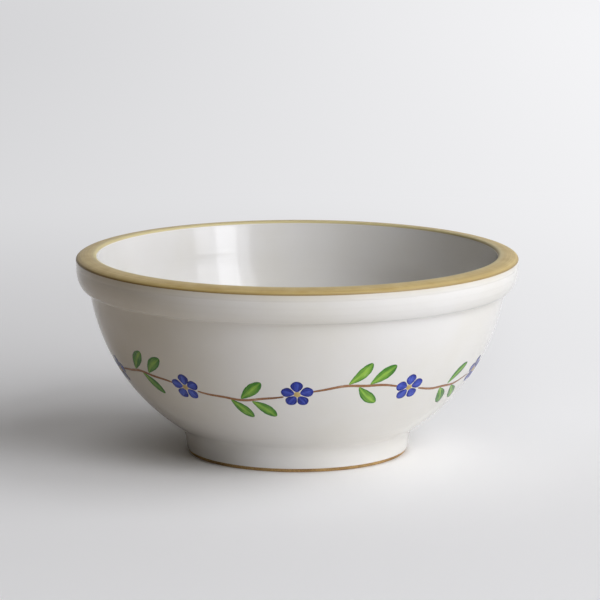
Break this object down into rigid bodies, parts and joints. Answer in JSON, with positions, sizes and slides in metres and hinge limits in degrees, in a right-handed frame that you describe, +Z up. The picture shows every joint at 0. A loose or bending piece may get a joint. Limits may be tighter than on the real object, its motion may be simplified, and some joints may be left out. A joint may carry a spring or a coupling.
{
  "type": "cereal bowl",
  "caption": "Round stoneware cereal bowl with a rolled collar round the mouth, a foot ring, glossy white glaze, an ochre band on the rim and a painted vine round the wall.",
  "frame": {"origin": "centre of the foot ring, on the surface that the bowl stands on", "axes": "+Z up along the bowl's axis of turning; -Y towards the side that the picture shows"},
  "size_m": [0.152, 0.152, 0.069],
  "materials": {
    "stoneware": "bare fired clay, matt",
    "white_glaze": "glossy",
    "ochre_band": "satin",
    "brown_paint": "satin",
    "green_paint": "glossy",
    "blue_paint": "glossy"
  },
  "bodies": {
    "root": {"clay_floor": "stoneware", "clay_lower_wall": "stoneware", "clay_upper_wall": "stoneware", "rim_collar": "stoneware", "foot_ring": "stoneware", "inner_glaze": "white_glaze", "outer_glaze": "white_glaze", "base_glaze": "white_glaze", "rim_band": "ochre_band", "flower_01": "blue_paint", "flower_02": "blue_paint", "flower_03": "blue_paint", "flower_04": "blue_paint", "flower_05": "blue_paint", "flower_06": "blue_paint", "flower_07": "blue_paint", "flower_08": "blue_paint", "flower_09": "blue_paint", "flower_10": "blue_paint", "stem_01": "brown_paint", "stem_02": "brown_paint", "stem_03": "brown_paint", "stem_04": "brown_paint", "stem_05": "brown_paint", "stem_06": "brown_paint", "stem_07": "brown_paint", "stem_08": "brown_paint", "stem_09": "brown_paint", "stem_10": "brown_paint", "leaf_01": "green_paint", "leaf_02": "green_paint", "leaf_03": "green_paint", "leaf_04": "green_paint", "leaf_05": "green_paint", "leaf_06": "green_paint", "leaf_07": "green_paint", "leaf_08": "green_paint", "leaf_09": "green_paint", "leaf_10": "green_paint", "leaf_11": "green_paint", "leaf_12": "green_paint", "leaf_13": "green_paint", "leaf_14": "green_paint", "leaf_15": "green_paint", "leaf_16": "green_paint", "leaf_17": "green_paint", "leaf_18": "green_paint", "leaf_19": "green_paint", "leaf_20": "green_paint", "leaf_21": "green_paint", "leaf_22": "green_paint", "leaf_23": "green_paint", "leaf_24": "green_paint", "leaf_25": "green_paint", "leaf_26": "green_paint", "leaf_27": "green_paint", "leaf_28": "green_paint", "leaf_29": "green_paint", "leaf_30": "green_paint"}
  },
  "joints": []
}
